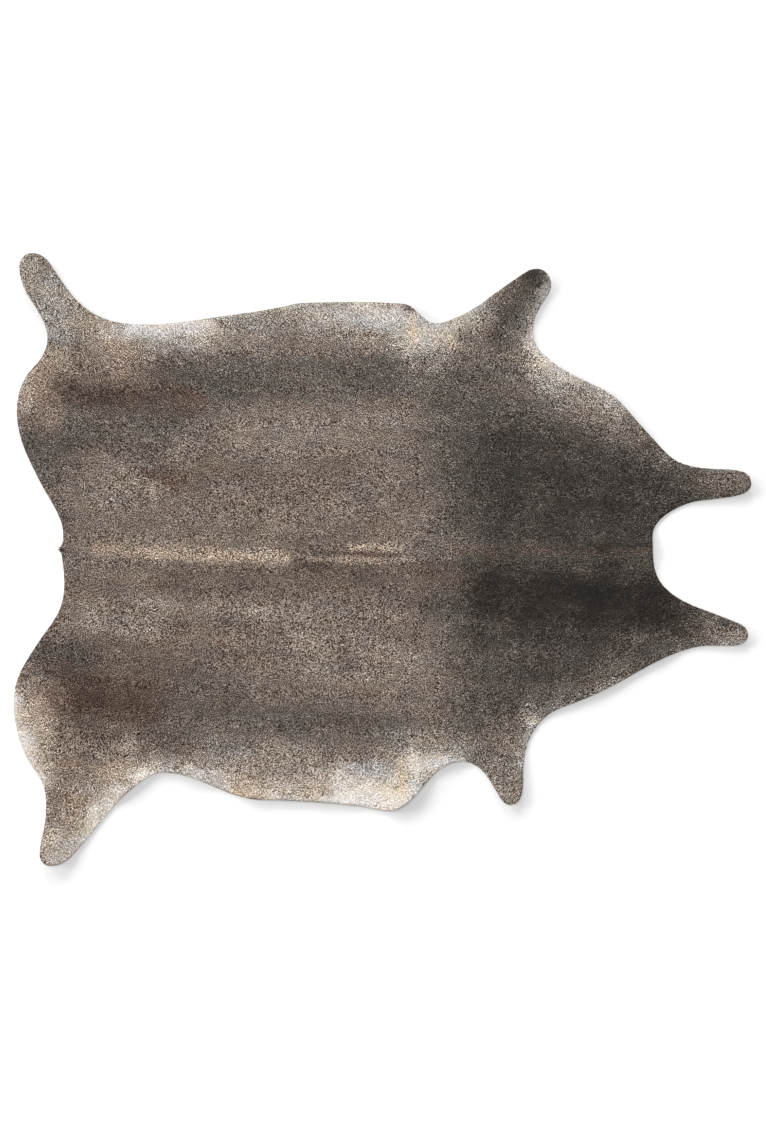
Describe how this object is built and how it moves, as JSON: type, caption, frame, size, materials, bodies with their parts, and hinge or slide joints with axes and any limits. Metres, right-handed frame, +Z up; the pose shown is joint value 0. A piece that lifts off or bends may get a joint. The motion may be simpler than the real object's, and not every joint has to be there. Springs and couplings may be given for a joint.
{
  "type": "cowhide rug",
  "caption": "Whole hair-on cowhide rug lying flat on the floor, with spread shanks, neck flaps, soft folds and slightly raised edges.",
  "frame": {"origin": "middle of the hide's bounding box, on the floor", "axes": "+X along the back from the tail to the neck, +Y across the hide towards the hind and fore shanks on the picture's upper side, +Z up, the hair side"},
  "size_m": [2.3586, 1.96, 0.0177],
  "materials": {
    "cowhide": "short salt-and-pepper hair, grey-brown with dark shoulders and pale belly edges, on tanned skin with a suede underside"
  },
  "bodies": {
    "root": {"hide": "cowhide"}
  },
  "joints": []
}
